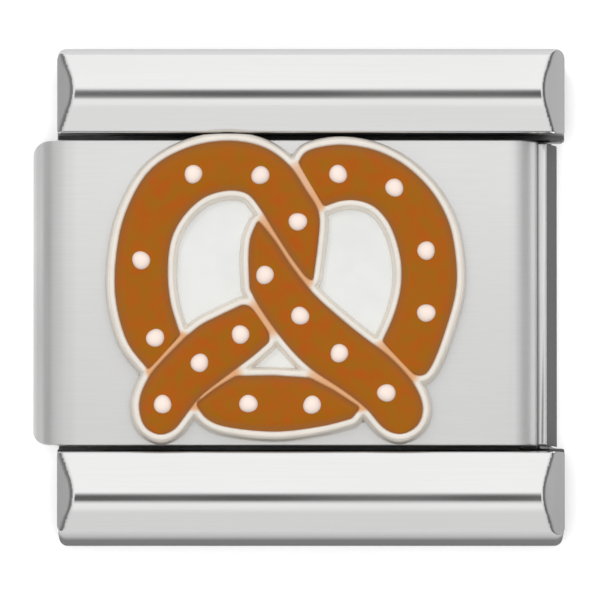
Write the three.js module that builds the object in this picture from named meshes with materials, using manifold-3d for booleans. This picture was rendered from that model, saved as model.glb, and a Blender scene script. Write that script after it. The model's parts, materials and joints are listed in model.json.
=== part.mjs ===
// One link of a modular charm bracelet: two sheet-metal sleeves held between two ridged side
// rails, a spring-loaded hook plate that joins it to the next link, and an enamel pretzel emblem.
// Millimetres, +Z out of the face, +X towards the hook, origin under the middle of the back.
import * as THREE from "three";
import { mergeVertices } from "three/addons/utils/BufferGeometryUtils.js";
import Module from "manifold-3d";

// Overall widths and heights
const LINK_LEFT = -4.684; // outer face of the catch wall
const LINK_RIGHT = 4.684; // hook-side end of the rails
const RAIL_LEFT = -4.262; // catch-side end of the rails
const SHEET = 0.3; // sleeve wall thickness
const SLEEVE_HALF = 2.68; // sleeves reach this far from the middle in y

// Face sleeve
const FACE_TOP = 3.55;
const FACE_RIGHT = 4.209;
const FACE_LOW = 2.2; // underside of the lower wall, and end of the catch wall
const FACE_ROLL = 0.6; // outer radius of the rolled front edges
const FACE_FOLD = 0.4; // outer radius of the lower fold
const SLOT_RIGHT = -3.6; // the neighbour's hook comes in between here and the catch wall

// Back sleeve
const BACK_HALF = 4.2;
const BACK_TOP = 1.3;
const BACK_FOLD = 0.4;

// Side rails, for +y; the other one is its mirror image
const RAIL_IN = 2.81;
const RAIL_OUT = 4.3;
const WEB_IN = 3.85; // inner face of the rail's web
const RIDGE_Y = 3.55;
const RIDGE_Z = 3.92;
const INNER_EDGE_Z = 3.68; // front bar, on the side of the face
const SHOULDER_Z = 3.62; // front bar, where it rolls over into the web
const SHOULDER = 0.2;
const CHANNEL_LOW = 0.6;
const CHANNEL_HIGH = 2.5;
const LEDGE_IN = 2.71; // a narrow ledge along the rail closes the gap beside the face
const LEDGE_HIGH = 2.8;
const HIP_LEFT = 0.27; // length of the slope from the ridge down to each end
const HIP_LEFT_Z = 3.62; // height where that slope meets the end
const HIP_RIGHT = 0.38;
const HIP_RIGHT_Z = 3.43;

// Tongues of the rails, inside the sleeves
const TONGUE_LEFT = -3.5;
const TONGUE_RIGHT = 3.7;
const TONGUE_TIP = 1.6;
const TONGUE = 0.3;

// Leaf springs that press the tongues against the sleeves
const LEAF_HALF = 2.4;
const LEAF = 0.12;
const LEAF_LEFT = -3.3;
const LEAF_RIGHT = 3.5;

// Hook plate
const HOOK_Z = 1.6;
const HOOK = 0.28;
const HOOK_LEFT = -3.9;
const HOOK_RIGHT = 4.526;
const HOOK_TIP_Z = 3.1;
const HOOK_TIP = 0.14; // the hook thins to this at its tip
const HOOK_TAPER_Z = 2.35; // where it starts to thin
const HOOK_BEND = 0.45;
const HOOK_HALF = 2.68;
const ARM_WIDTH = 0.5; // arms at its left end reach into the rails
const ARM_HALF = 3.8;
const TAB_LOW = 0.85;
const TAB_HIGH = 2.35;
const TAB_IN = 2.95;

// Wave springs between the arms' tabs and the stops at the ends of the rails
const STOP_LEFT = 4.2;
const STOP_RIGHT = 4.5;
const WAVES = 4;
const WAVE_HEIGHT = 0.6;
const WAVE = 0.15;

// Emblem
const BASE_TOP = 3.65; // plate under the enamel
const ENAMEL_TOP = 3.85;
const RIM_TOP = 3.88;
const GROUND_TOP = 3.64; // white enamel in the pretzel's openings
const RIM = 0.14; // width of the metal rim round each field
const FOOT = 0.18; // the emblem plate spreads this far round each field at its foot
const DOT_RADIUS = 0.175;
const DOT_TOP = 3.97;

const wasm = await Module();
wasm.setup();

function toSolid(geometry) {
  const bare = geometry.clone().deleteAttribute("normal").deleteAttribute("uv");
  const merged = mergeVertices(bare, 1e-4);
  return new wasm.Manifold(
    new wasm.Mesh({
      numProp: 3,
      vertProperties: new Float32Array(merged.attributes.position.array),
      triVerts: new Uint32Array(merged.index.array),
    }),
  );
}

function toGeometry(solid) {
  const mesh = solid.getMesh();
  const geometry = new THREE.BufferGeometry();
  geometry.setAttribute("position", new THREE.BufferAttribute(mesh.vertProperties, 3));
  geometry.setIndex(new THREE.BufferAttribute(mesh.triVerts, 1));
  geometry.computeVertexNormals();
  return geometry;
}

// A profile drawn in x and z, carried along y from low to high.
function alongY(shape, low, high, curveSegments = 6) {
  const options = { depth: high - low, bevelEnabled: false, curveSegments };
  return new THREE.ExtrudeGeometry(shape, options).rotateX(Math.PI / 2).translate(0, high, 0);
}

// A profile drawn in y and z, carried along x from low to high.
function alongX(shape, low, high, curveSegments = 6) {
  const options = { depth: high - low, bevelEnabled: false, curveSegments };
  const turn = new THREE.Matrix4().makeBasis(
    new THREE.Vector3(0, 1, 0),
    new THREE.Vector3(0, 0, 1),
    new THREE.Vector3(1, 0, 0),
  );
  return new THREE.ExtrudeGeometry(shape, options).applyMatrix4(turn).translate(low, 0, 0);
}

// A profile drawn in x and y, carried up z from low to high.
function upZ(shape, low, high, curveSegments = 4) {
  const options = { depth: high - low, bevelEnabled: false, curveSegments };
  return new THREE.ExtrudeGeometry(shape, options).translate(0, 0, low);
}

function block(x, y, z) {
  const size = [x, y, z].map(([low, high]) => high - low);
  const middle = [x, y, z].map(([low, high]) => (low + high) / 2);
  return new THREE.BoxGeometry(...size).translate(...middle);
}

// A closed strip of even thickness on both sides of the line that `at` gives for 0 to 1.
function strip(at, thickness, steps) {
  const upper = [];
  const lower = [];
  for (let i = 0; i <= steps; i++) {
    const here = at(i / steps);
    const ahead = at(Math.min(1, i / steps + 1e-4));
    const behind = at(Math.max(0, i / steps - 1e-4));
    const along = ahead.clone().sub(behind).normalize();
    const side = new THREE.Vector2(-along.y, along.x).multiplyScalar(thickness / 2);
    upper.push(here.clone().add(side));
    lower.unshift(here.clone().sub(side));
  }
  return new THREE.Shape([...upper, ...lower]);
}

const link = new THREE.Group();
link.name = "charm_link";

function add(name, geometry, color, roughness, metalness) {
  const material = new THREE.MeshStandardMaterial({ color, roughness, metalness });
  const mesh = new THREE.Mesh(geometry, material);
  mesh.name = name;
  link.add(mesh);
}

const quarter = Math.PI / 2;

// Face sleeve: catch wall, rolled front face, hook-side wall and lower wall in one bent sheet.
const face = new THREE.Shape();
face.moveTo(LINK_LEFT, FACE_LOW);
face.lineTo(LINK_LEFT, FACE_TOP - FACE_ROLL);
face.absarc(LINK_LEFT + FACE_ROLL, FACE_TOP - FACE_ROLL, FACE_ROLL, 2 * quarter, quarter, true);
face.lineTo(FACE_RIGHT - FACE_ROLL, FACE_TOP);
face.absarc(FACE_RIGHT - FACE_ROLL, FACE_TOP - FACE_ROLL, FACE_ROLL, quarter, 0, true);
face.lineTo(FACE_RIGHT, FACE_LOW + FACE_FOLD);
face.absarc(FACE_RIGHT - FACE_FOLD, FACE_LOW + FACE_FOLD, FACE_FOLD, 0, -quarter, true);
face.lineTo(SLOT_RIGHT, FACE_LOW);
face.lineTo(SLOT_RIGHT, FACE_LOW + SHEET);
face.lineTo(FACE_RIGHT - FACE_FOLD, FACE_LOW + SHEET);
face.absarc(FACE_RIGHT - FACE_FOLD, FACE_LOW + FACE_FOLD, FACE_FOLD - SHEET, -quarter, 0);
face.lineTo(FACE_RIGHT - SHEET, FACE_TOP - FACE_ROLL);
face.absarc(FACE_RIGHT - FACE_ROLL, FACE_TOP - FACE_ROLL, FACE_ROLL - SHEET, 0, quarter);
face.lineTo(LINK_LEFT + FACE_ROLL, FACE_TOP - SHEET);
face.absarc(LINK_LEFT + FACE_ROLL, FACE_TOP - FACE_ROLL, FACE_ROLL - SHEET, quarter, 2 * quarter);
face.lineTo(LINK_LEFT + SHEET, FACE_LOW);
add("face_sleeve", alongY(face, -SLEEVE_HALF, SLEEVE_HALF), 0xc9c9c7, 0.32, 1);

// Back sleeve: the same sheet bent into a closed flat tube.
function roundedBox(path, half, low, high, radius) {
  path.moveTo(half - radius, low);
  path.absarc(half - radius, low + radius, radius, -quarter, 0);
  path.absarc(half - radius, high - radius, radius, 0, quarter);
  path.absarc(radius - half, high - radius, radius, quarter, 2 * quarter);
  path.absarc(radius - half, low + radius, radius, 2 * quarter, 3 * quarter);
  path.closePath();
  return path;
}
const back = roundedBox(new THREE.Shape(), BACK_HALF, 0, BACK_TOP, BACK_FOLD);
const backInside = [BACK_HALF - SHEET, SHEET, BACK_TOP - SHEET, BACK_FOLD - SHEET];
back.holes.push(roundedBox(new THREE.Path(), ...backInside));
add("back_sleeve", alongY(back, -SLEEVE_HALF, SLEEVE_HALF), 0xc4c4c2, 0.35, 1);

// Side rail: a channel open towards the sleeves, with hipped ends, two tongues and a spring stop.
function sideRail() {
  const channel = new THREE.Shape();
  channel.moveTo(RAIL_IN, 0);
  channel.lineTo(RAIL_OUT - SHOULDER, 0);
  channel.absarc(RAIL_OUT - SHOULDER, SHOULDER, SHOULDER, -quarter, 0);
  channel.lineTo(RAIL_OUT, SHOULDER_Z - SHOULDER);
  channel.quadraticCurveTo(RAIL_OUT, SHOULDER_Z, RAIL_OUT - SHOULDER, SHOULDER_Z + 0.06);
  channel.lineTo(RIDGE_Y, RIDGE_Z);
  channel.lineTo(RAIL_IN, INNER_EDGE_Z);
  channel.lineTo(RAIL_IN, LEDGE_HIGH);
  channel.lineTo(LEDGE_IN, LEDGE_HIGH);
  channel.lineTo(LEDGE_IN, CHANNEL_HIGH);
  channel.lineTo(WEB_IN, CHANNEL_HIGH);
  channel.lineTo(WEB_IN, CHANNEL_LOW);
  channel.lineTo(RAIL_IN, CHANNEL_LOW);

  const hipped = new THREE.Shape();
  hipped.moveTo(RAIL_LEFT, -1);
  hipped.lineTo(RAIL_LEFT, HIP_LEFT_Z);
  hipped.lineTo(RAIL_LEFT + HIP_LEFT, RIDGE_Z);
  hipped.lineTo(RAIL_LEFT + HIP_LEFT, RIDGE_Z + 1);
  hipped.lineTo(LINK_RIGHT - HIP_RIGHT, RIDGE_Z + 1);
  hipped.lineTo(LINK_RIGHT - HIP_RIGHT, RIDGE_Z);
  hipped.lineTo(LINK_RIGHT, HIP_RIGHT_Z);
  hipped.lineTo(LINK_RIGHT, -1);

  let rail = toSolid(alongX(channel, RAIL_LEFT, LINK_RIGHT, 4));
  rail = rail.intersect(toSolid(alongY(hipped, 0, RAIL_OUT + 1)));
  const tongueX = [TONGUE_LEFT, TONGUE_RIGHT];
  for (const floor of [SHEET, FACE_LOW + SHEET]) {
    rail = rail.add(toSolid(block(tongueX, [TONGUE_TIP, RAIL_IN + 0.2], [floor, floor + TONGUE])));
  }
  const stop = [[STOP_LEFT, STOP_RIGHT], [TAB_IN, WEB_IN + 0.1], [CHANNEL_LOW - 0.1, CHANNEL_HIGH + 0.1]];
  return rail.add(toSolid(block(...stop)));
}
const rail = sideRail();
add("upper_rail", toGeometry(rail), 0xe2e2e0, 0.16, 1);
add("lower_rail", toGeometry(rail.mirror([0, 1, 0])), 0xe2e2e0, 0.16, 1);

// Leaf springs: shallow bowed strips, ends on the tongues and crown on the sleeve above.
function leafSpring(floor, ceiling) {
  const rise = ceiling - floor - LEAF;
  const bow = (t) => {
    const y = LEAF_HALF * (2 * t - 1);
    const lift = rise * 0.5 * (1 + Math.cos(Math.PI * (2 * t - 1)));
    return new THREE.Vector2(y, floor + LEAF / 2 + lift);
  };
  return alongX(strip(bow, LEAF, 24), LEAF_LEFT, LEAF_RIGHT);
}
const faceLeaf = leafSpring(FACE_LOW + SHEET + TONGUE, FACE_TOP - SHEET);
add("face_leaf_spring", faceLeaf, 0xb9bab9, 0.35, 1);
add("back_leaf_spring", leafSpring(SHEET + TONGUE, BACK_TOP - SHEET), 0xb9bab9, 0.35, 1);

// Hook plate: flat plate, upturned hook at the right, two arms with tabs at the left.
const hook = new THREE.Shape();
const tipRadius = HOOK_TIP / 2;
const tipX = HOOK_RIGHT - HOOK + tipRadius;
hook.moveTo(HOOK_LEFT, HOOK_Z);
hook.lineTo(HOOK_RIGHT - HOOK_BEND, HOOK_Z);
hook.absarc(HOOK_RIGHT - HOOK_BEND, HOOK_Z + HOOK_BEND, HOOK_BEND, -quarter, 0);
hook.lineTo(HOOK_RIGHT, HOOK_TAPER_Z);
hook.absarc(tipX, HOOK_TIP_Z - tipRadius, tipRadius, 0, 2 * quarter);
const inner = HOOK_BEND - HOOK;
hook.absarc(HOOK_RIGHT - HOOK_BEND, HOOK_Z + HOOK_BEND, inner, 0, -quarter, true);
hook.lineTo(HOOK_LEFT, HOOK_Z + HOOK);
let hookPlate = toSolid(alongY(hook, -HOOK_HALF, HOOK_HALF));
const armX = [HOOK_LEFT, HOOK_LEFT + ARM_WIDTH];
hookPlate = hookPlate.add(toSolid(block(armX, [-ARM_HALF, ARM_HALF], [HOOK_Z, HOOK_Z + HOOK])));
for (const y of [[TAB_IN, ARM_HALF], [-ARM_HALF, -TAB_IN]]) {
  hookPlate = hookPlate.add(toSolid(block(armX, y, [TAB_LOW, TAB_HIGH])));
}
add("hook_plate", toGeometry(hookPlate), 0xb4b5b4, 0.3, 1);

// Wave springs: a strip folded into waves along each rail.
function waveSpring(yLow, yHigh) {
  const start = HOOK_LEFT + ARM_WIDTH;
  const middle = (CHANNEL_LOW + CHANNEL_HIGH) / 2;
  const wave = (t) => {
    const z = middle + WAVE_HEIGHT * Math.cos(2 * Math.PI * WAVES * t);
    return new THREE.Vector2(start + (STOP_LEFT - start) * t, z);
  };
  return alongY(strip(wave, WAVE, 20 * WAVES), yLow, yHigh);
}
add("upper_wave_spring", waveSpring(TAB_IN + 0.05, ARM_HALF - 0.05), 0xaeb0b0, 0.35, 1);
add("lower_wave_spring", waveSpring(0.05 - ARM_HALF, -0.05 - TAB_IN), 0xaeb0b0, 0.35, 1);

// Enamel fields of the pretzel, each as smooth stretches that meet at its corners.
const FIELDS = {
  left_loop: [
    [[-2.65, -1.36], [-3.02, -0.87], [-3.22, -0.1], [-3.2, 0.7], [-3.03, 1.42], [-2.63, 2.12],
      [-2.01, 2.51], [-1.3, 2.65], [-0.66, 2.55], [-0.2, 2.24], [0.1, 1.8], [0.34, 1.38], [0.33, 0.9], [0.24, 0.2]],
    [[0.14, 0.25], [-0.12, 0.6], [-0.4, 1.03], [-0.66, 1.45], [-0.9, 1.73], [-1.25, 1.79], [-1.67, 1.67],
      [-2.02, 1.36], [-2.25, 0.94], [-2.32, 0.4], [-2.27, -0.2], [-2.1, -0.76]],
  ],
  right_loop: [
    [[0, 2.28], [0.14, 2.46], [0.5, 2.56], [0.9, 2.57], [1.4, 2.46], [1.9, 2.19], [2.36, 1.72],
      [2.65, 1.15], [2.76, 0.5], [2.75, 0], [2.62, -0.52], [2.4, -1.15], [2.22, -1.45], [2.04, -1.46]],
    [[1.48, -0.87], [1.67, -0.45], [1.8, 0.05], [1.8, 0.57], [1.64, 1.12], [1.38, 1.47], [1.07, 1.61],
      [0.74, 1.61], [0.45, 1.51]],
  ],
  right_arm: [
    [[-0.72, 1.24], [-0.43, 0.88], [-0.12, 0.41], [0.3, -0.1], [0.95, -0.67], [1.58, -1.16],
      [2.0, -1.62], [2.17, -2.03], [2.08, -2.35], [1.8, -2.5], [1.5, -2.4], [1.18, -2.04], [0.77, -1.72],
      [0.19, -1.33], [-0.23, -0.9], [-0.65, -0.32], [-0.86, 0.05]],
    [[-0.88, 0.55], [-0.85, 0.92], [-0.72, 1.24]],
  ],
  left_arm: [
    [[-0.99, -0.24], [-1.43, -0.45], [-1.78, -0.64], [-2.18, -1.01], [-2.62, -1.5], [-2.8, -1.95],
      [-2.72, -2.35], [-2.46, -2.51], [-2.21, -2.43], [-2.02, -2.2], [-1.76, -1.86], [-1.3, -1.49],
      [-0.84, -1.15], [-0.53, -0.88]],
    [[-0.54, -0.74], [-0.73, -0.46], [-0.87, -0.28], [-0.99, -0.24]],
  ],
  bottom_bow: [
    [[-1.8, -1.98], [-1.46, -1.72], [-1.1, -1.5]],
    [[-0.45, -1.49], [0.18, -1.53]],
    [[0.6, -1.75], [1.06, -2.05]],
    [[0.93, -2.23], [0.37, -2.37], [-0.42, -2.46], [-1.25, -2.38], [-1.62, -2.23], [-1.8, -1.98]],
  ],
};

function outline(stretches) {
  const shape = new THREE.Shape();
  stretches.forEach((stretch, i) => {
    const points = stretch.map(([x, y]) => new THREE.Vector2(x, y));
    if (i === 0) shape.moveTo(points[0].x, points[0].y);
    else shape.lineTo(points[0].x, points[0].y);
    shape.splineThru(points.slice(1));
  });
  return shape;
}

// The same outline moved outwards by the rim width; sharp tips are blunted.
function grown(shape, distance) {
  let points = shape.extractPoints(4).shape;
  points = points.filter((p, i) => p.distanceTo(points.at(i - 1)) > 1e-3);
  if (THREE.ShapeUtils.isClockWise(points)) points.reverse();
  return new THREE.Shape(points.map((p, i) => {
    const before = p.clone().sub(points.at(i - 1)).normalize();
    const after = points[(i + 1) % points.length].clone().sub(p).normalize();
    const normal = new THREE.Vector2(before.y + after.y, -before.x - after.x).normalize();
    const spread = Math.max(0.7, normal.x * before.y - normal.y * before.x);
    return p.clone().addScaledVector(normal, distance / spread);
  }));
}

// Plaque: a rim round every field, and a thin floor across the pretzel's three openings.
const FLOOR = new THREE.Shape([[-2.5, 0.3], [-1.3, 2], [1, 1.9], [2, 0.3], [1.6, -1.1], [0, -1.8],
  [-1.2, -1.7], [-2.3, -0.9]].map(([x, y]) => new THREE.Vector2(x, y)));
let plaque = toSolid(upZ(FLOOR, FACE_TOP, FACE_TOP + 0.05));
let pockets = null;
for (const stretches of Object.values(FIELDS)) {
  const shape = outline(stretches);
  const pocket = toSolid(upZ(shape, BASE_TOP, RIM_TOP + 1));
  plaque = plaque.add(toSolid(upZ(grown(shape, RIM), FACE_TOP, RIM_TOP)));
  plaque = plaque.add(toSolid(upZ(grown(shape, FOOT), FACE_TOP, BASE_TOP)));
  pockets = pockets ? pockets.add(pocket) : pocket;
}
plaque = plaque.subtract(pockets);
const beyond = block([LINK_LEFT, LINK_RIGHT], [RAIL_IN - 0.02, RAIL_OUT], [FACE_TOP - 1, RIM_TOP + 1]);
plaque = plaque.subtract(toSolid(beyond)); // the rim stops just short of the rail
add("charm_plaque", toGeometry(plaque), 0xe6e2d8, 0.25, 1);

// White enamel laid on the floor of the three openings.
const ground = toSolid(upZ(FLOOR, FACE_TOP + 0.05, GROUND_TOP)).subtract(plaque).decompose();
ground.sort((a, b) => a.boundingBox().min[0] - b.boundingBox().min[0]);
["left", "middle", "right"].forEach((side, i) => {
  add("enamel_white_" + side, toGeometry(ground[i]), 0xf4f2ee, 0.25, 0);
});
for (const [name, stretches] of Object.entries(FIELDS)) {
  add("enamel_" + name, upZ(outline(stretches), BASE_TOP, ENAMEL_TOP), 0xac6012, 0.22, 0);
}

// Salt: low domes of white enamel on the brown fields.
const SALT = [
  [-1.86, 2.07], [-0.68, 2.05], [-2.78, 0.55], [-0.02, 1.23], [-2.53, -0.82],
  [0.69, 2.07], [1.68, 1.83], [2.24, 0.72], [2.24, -0.38],
  [-0.6, 0.29], [0.02, -0.43], [0.71, -1.09], [1.54, -1.79],
  [-1.03, -0.76], [-1.75, -1.26], [-2.4, -1.99], [-0.89, -1.98], [0.23, -2.0],
];
SALT.forEach(([x, y], i) => {
  const height = DOT_TOP - ENAMEL_TOP;
  const dome = [new THREE.Vector2(0, 0)];
  for (let k = 0; k <= 3; k++) {
    const angle = quarter * (k / 3);
    dome.push(new THREE.Vector2(DOT_RADIUS * Math.cos(angle), height * Math.sin(angle)));
  }
  dome[dome.length - 1].x = 0;
  const dot = new THREE.LatheGeometry(dome, 14).rotateX(quarter).translate(x, y, ENAMEL_TOP);
  add("salt_" + String(i + 1).padStart(2, "0"), dot, 0xfff6e6, 0.3, 0);
});

export default link;
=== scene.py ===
"""Looks of a modular charm bracelet link with an enamel pretzel emblem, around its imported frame."""

import json
import math

import bmesh
import bpy
import numpy as np
from bpy.props import FloatProperty, FloatVectorProperty, IntProperty, PointerProperty
from mathutils import Euler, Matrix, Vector


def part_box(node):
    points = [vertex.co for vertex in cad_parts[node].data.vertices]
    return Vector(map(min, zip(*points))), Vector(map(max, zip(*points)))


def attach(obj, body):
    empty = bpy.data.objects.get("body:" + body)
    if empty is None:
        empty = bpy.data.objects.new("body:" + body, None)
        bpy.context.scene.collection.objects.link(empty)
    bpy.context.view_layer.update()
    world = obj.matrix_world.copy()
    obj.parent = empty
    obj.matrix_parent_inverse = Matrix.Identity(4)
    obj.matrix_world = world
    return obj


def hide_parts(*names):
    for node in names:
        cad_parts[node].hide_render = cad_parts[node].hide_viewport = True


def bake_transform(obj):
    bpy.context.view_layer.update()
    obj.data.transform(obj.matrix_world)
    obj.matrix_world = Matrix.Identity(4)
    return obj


bl_info = {
    "name": "Charm Bracelet Link",
    "version": (1, 0, 0),
    "blender": (4, 5, 0),
    "location": "View3D > Sidebar > Charm Link",
    "description": "Steel bracelet link with ridged rails, a sliding hook and an enamel emblem",
    "category": "Add Mesh",
}

MM = 0.001
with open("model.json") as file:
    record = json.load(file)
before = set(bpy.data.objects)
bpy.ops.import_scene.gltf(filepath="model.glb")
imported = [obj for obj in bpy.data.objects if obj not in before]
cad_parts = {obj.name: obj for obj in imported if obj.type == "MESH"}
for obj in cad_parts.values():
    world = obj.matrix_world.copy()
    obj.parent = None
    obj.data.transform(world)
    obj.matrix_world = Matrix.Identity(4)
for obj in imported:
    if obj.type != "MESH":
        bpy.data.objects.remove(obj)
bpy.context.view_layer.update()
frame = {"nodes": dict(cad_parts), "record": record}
BODY = {
    node: body
    for body, nodes in frame["record"]["behaviour"]["bodies"].items()
    for node in nodes
}


def box_mm(node):
    """Lowest and highest corner of a node as two arrays in millimetres."""
    low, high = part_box(node)
    return np.array(low) / MM, np.array(high) / MM


# ---------------------------------------------------------------- curves and profiles


def arc_points(centre, radius, start, end, count):
    """Points on a circle: centre plus radius times cosine and sine, from start to end degrees."""
    angle = np.radians(np.linspace(start, end, count))
    return np.asarray(centre) + radius * np.stack([np.cos(angle), np.sin(angle)], 1)


def filleted(corners, radii, closed=False, steps=14):
    """A line through corners with each corner replaced by the arc that touches both its sides.

    The arc starts at radius times the tangent of half the turn before the corner, and its points
    come from turning that start about the arc's centre."""
    corners = np.asarray(corners, float)
    count = len(corners)
    pieces = []
    for i, radius in enumerate(radii):
        here = corners[i]
        if radius <= 0 or (not closed and i in (0, count - 1)):
            pieces.append(here[None])
            continue
        before = here - corners[i - 1]
        after = corners[(i + 1) % count] - here
        before /= np.linalg.norm(before)
        after /= np.linalg.norm(after)
        turn = math.atan2(
            before[0] * after[1] - before[1] * after[0], before @ after
        )
        start = here - before * radius * math.tan(abs(turn) / 2)
        side = np.array([-before[1], before[0]]) * math.copysign(1, turn)
        first = math.degrees(math.atan2(-side[1], -side[0]))
        pieces.append(
            arc_points(start + side * radius, radius, first, first + math.degrees(turn), steps)
        )
    return np.concatenate(pieces)


def spaced(points, step, closed=False):
    """The same line with extra points so that none of its straight stretches is over step long."""
    ring = np.concatenate([points, points[:1]]) if closed else points
    length = np.concatenate([[0], np.cumsum(np.linalg.norm(np.diff(ring, axis=0), axis=1))])
    every = np.linspace(0, length[-1], max(2, int(length[-1] / step)) + 1)
    wanted = np.unique(np.round(np.concatenate([length, every]), 6))
    wanted = wanted[np.concatenate([[True], np.diff(wanted) > step * 0.05])]
    moved = np.stack([np.interp(wanted, length, ring[:, k]) for k in range(ring.shape[1])], 1)
    return moved[:-1] if closed else moved


def side_normals(points, closed=False):
    """Unit normals to the left of a flat line, from the difference of the points on either side."""
    if closed:
        along = np.roll(points, -1, 0) - np.roll(points, 1, 0)
    else:
        along = np.gradient(points, axis=0)
    along /= np.linalg.norm(along, axis=1)[:, None]
    return np.stack([-along[:, 1], along[:, 0]], 1)


# ---------------------------------------------------------------- meshes


def shell(points, close_rows=False, capped=True):
    """Vertices and faces of a grid of rings: each row of points is a closed ring, and neighbouring
    rows are joined by quads. The first and last rings are filled unless the rows close too."""
    rows, columns = points.shape[:2]
    index = np.arange(rows * columns).reshape(rows, columns)
    below = index if close_rows else index[:-1]
    above = np.roll(index, -1, 0) if close_rows else index[1:]
    quads = np.stack([below, np.roll(below, -1, 1), np.roll(above, -1, 1), above], -1)
    faces = quads.reshape(-1, 4).tolist()
    if capped and not close_rows:
        faces += [index[0, ::-1].tolist(), index[-1].tolist()]
    return points.reshape(-1, 3), faces


def joined(shells):
    """Several shells as one list of vertices and faces."""
    starts = np.cumsum([0] + [len(vertices) for vertices, _ in shells])
    faces = [
        [v + int(start) for v in face]
        for start, (_, own) in zip(starts, shells)
        for face in own
    ]
    return np.concatenate([vertices for vertices, _ in shells]), faces


def piece(name, vertices, faces, material, nodes, sharp=35, shades=None):
    """A mesh object in metres that stands for its nodes. Shades are numbers from 0 to 1 stored on
    its points, by name, for the material to use."""
    mesh = bpy.data.meshes.new(name)
    mesh.from_pydata((np.asarray(vertices) * MM).tolist(), [], faces)
    for label, values in (shades or {}).items():
        attribute = mesh.attributes.new(label, "FLOAT", "POINT")
        attribute.data.foreach_set("value", np.ascontiguousarray(values, np.float32).reshape(-1))
    mesh.validate()
    merge_and_face_out(mesh)
    mesh.polygons.foreach_set("use_smooth", [True] * len(mesh.polygons))
    mesh.set_sharp_from_angle(angle=math.radians(sharp))
    mesh.materials.append(material)
    item = bpy.data.objects.new(name, mesh)
    bpy.context.scene.collection.objects.link(item)
    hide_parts(*nodes)
    return item


def second_look(item, material, chosen):
    """Gives another material to the faces whose centre and normal pass the test."""
    mesh = item.data
    count = len(mesh.polygons)
    centre = np.empty(count * 3, np.float32)
    normal = np.empty(count * 3, np.float32)
    index = np.empty(count, np.int32)
    mesh.polygons.foreach_get("center", centre)
    mesh.polygons.foreach_get("normal", normal)
    mesh.polygons.foreach_get("material_index", index)
    x, y, z = centre.reshape(-1, 3).T / MM
    mesh.materials.append(material)
    index[chosen(x, np.abs(y), z, normal.reshape(-1, 3))] = len(mesh.materials) - 1
    mesh.polygons.foreach_set("material_index", index)


def merge_and_face_out(mesh):
    """Merges points that fall together at poles and tips, and turns all faces outwards."""
    work = bmesh.new()
    work.from_mesh(mesh)
    bmesh.ops.remove_doubles(work, verts=work.verts, dist=0.0005 * MM)
    bmesh.ops.recalc_face_normals(work, faces=work.faces)
    work.to_mesh(mesh)
    work.free()


def strip_along(path, half, thickness, radius, steps=5, closed=False):
    """A sheet strip carried along a line in x and z, as wide as half gives on both sides in y.

    Its cross-section is a rectangle with rounded corners: each point is the corner's centre plus
    the radius times cosine and sine. At both ends the radius shrinks as a quarter circle, so the
    end edges are rounded too."""
    normal = side_normals(path, closed)
    half = np.broadcast_to(half, len(path)).astype(float)
    shrink = np.ones(len(path))
    if not closed:
        turn = np.radians(np.array([78, 60, 40, 20, 0]))
        rounds = len(turn)
        inset = (radius * (1 - np.sin(turn)))[:, None]
        first = path[0] + (path[1] - path[0]) / np.linalg.norm(path[1] - path[0]) * inset
        last = path[-1] + (path[-2] - path[-1]) / np.linalg.norm(path[-2] - path[-1]) * inset
        path = np.concatenate([first, path[1:-1], last[::-1]])
        repeats = np.ones(len(normal), int)
        repeats[[0, -1]] = rounds
        normal = np.repeat(normal, repeats, 0)
        half = np.repeat(half, repeats)
        shrink = np.concatenate([np.cos(turn), shrink[1:-1], np.cos(turn)[::-1]])
    corner = np.repeat([0, 1, 2, 3], steps + 1)
    angle = np.radians(np.tile(np.linspace(0, 90, steps + 1), 4) + 90 * corner)
    side_y = np.array([1, -1, -1, 1])[corner]
    side_n = np.array([1, 1, -1, -1])[corner]
    round_off = radius * shrink[:, None]
    y = side_y * (half[:, None] - radius) + round_off * np.cos(angle)
    off = side_n * (thickness / 2 - radius) + round_off * np.sin(angle)
    x = path[:, :1] + normal[:, :1] * off
    z = path[:, 1:] + normal[:, 1:] * off
    return shell(np.stack([x, y, z], -1), close_rows=closed)


def shifted(shape, y):
    """The shape moved along y."""
    vertices, faces = shape
    return vertices + np.array([0, y, 0]), faces


def slab(low, high, radius=0.04):
    """A block with rounded edges: a straight strip along x."""
    low, high = np.asarray(low, float), np.asarray(high, float)
    middle = (low + high) / 2
    line = np.stack([np.linspace(low[0], high[0], 6), np.full(6, middle[2])], 1)
    made = strip_along(line, (high[1] - low[1]) / 2, high[2] - low[2], radius, steps=3)
    return shifted(made, middle[1])


# ---------------------------------------------------------------- emblem outlines


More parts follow.
